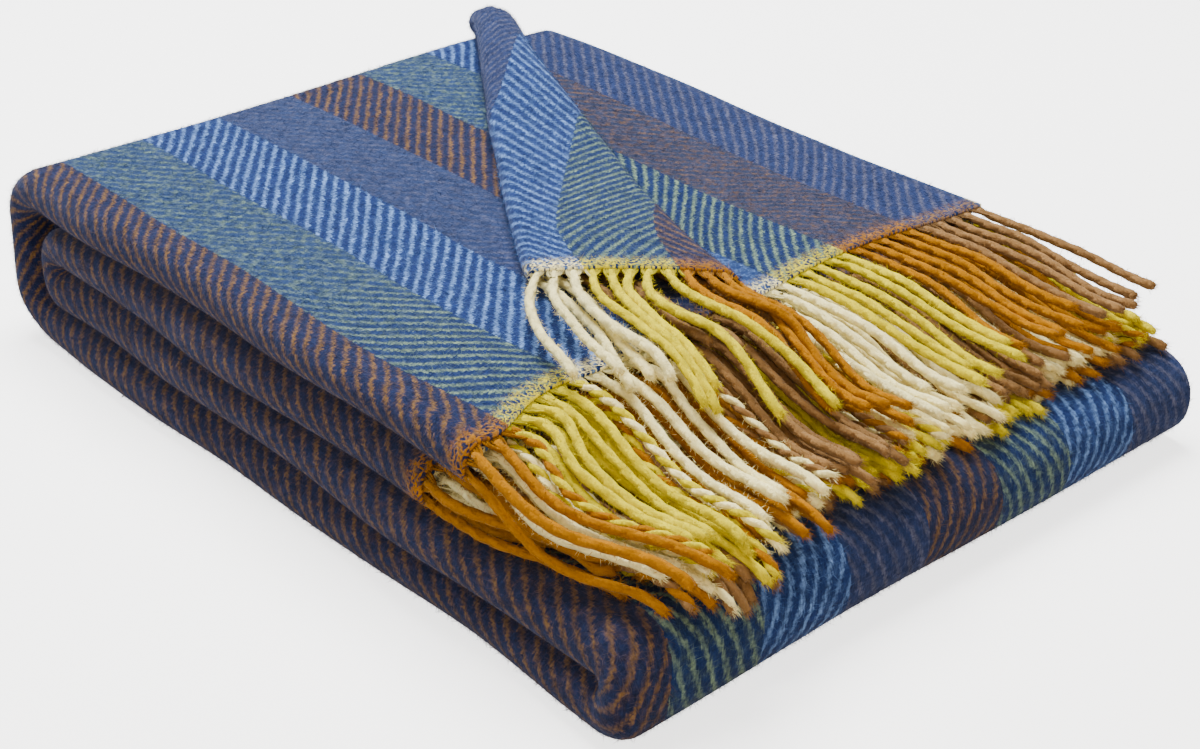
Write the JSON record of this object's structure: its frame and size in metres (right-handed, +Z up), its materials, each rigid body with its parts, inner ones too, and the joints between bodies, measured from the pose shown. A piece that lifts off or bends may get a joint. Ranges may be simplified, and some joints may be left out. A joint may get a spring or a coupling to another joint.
{
  "type": "folded wool throw",
  "caption": "Woven wool throw in herringbone stripes, folded into a flat stack with rounded fold edges, one corner turned back and twisted fringes lying over the front end.",
  "frame": {"origin": "centre of the bounding box, on the floor under the stack", "axes": "+X along the folded runs towards the fringed front end, +Y from the side of rounded folds to the back, +Z up"},
  "size_m": [0.4776, 0.3362, 0.116],
  "materials": {
    "wool_cloth": "brushed herringbone wool with a soft nap",
    "fringe_yarn": "twisted wool yarn, fuzzy"
  },
  "bodies": {
    "root": {"throw_cloth": "wool_cloth", "fringe_upper": "fringe_yarn", "fringe_lower": "fringe_yarn"}
  },
  "joints": []
}
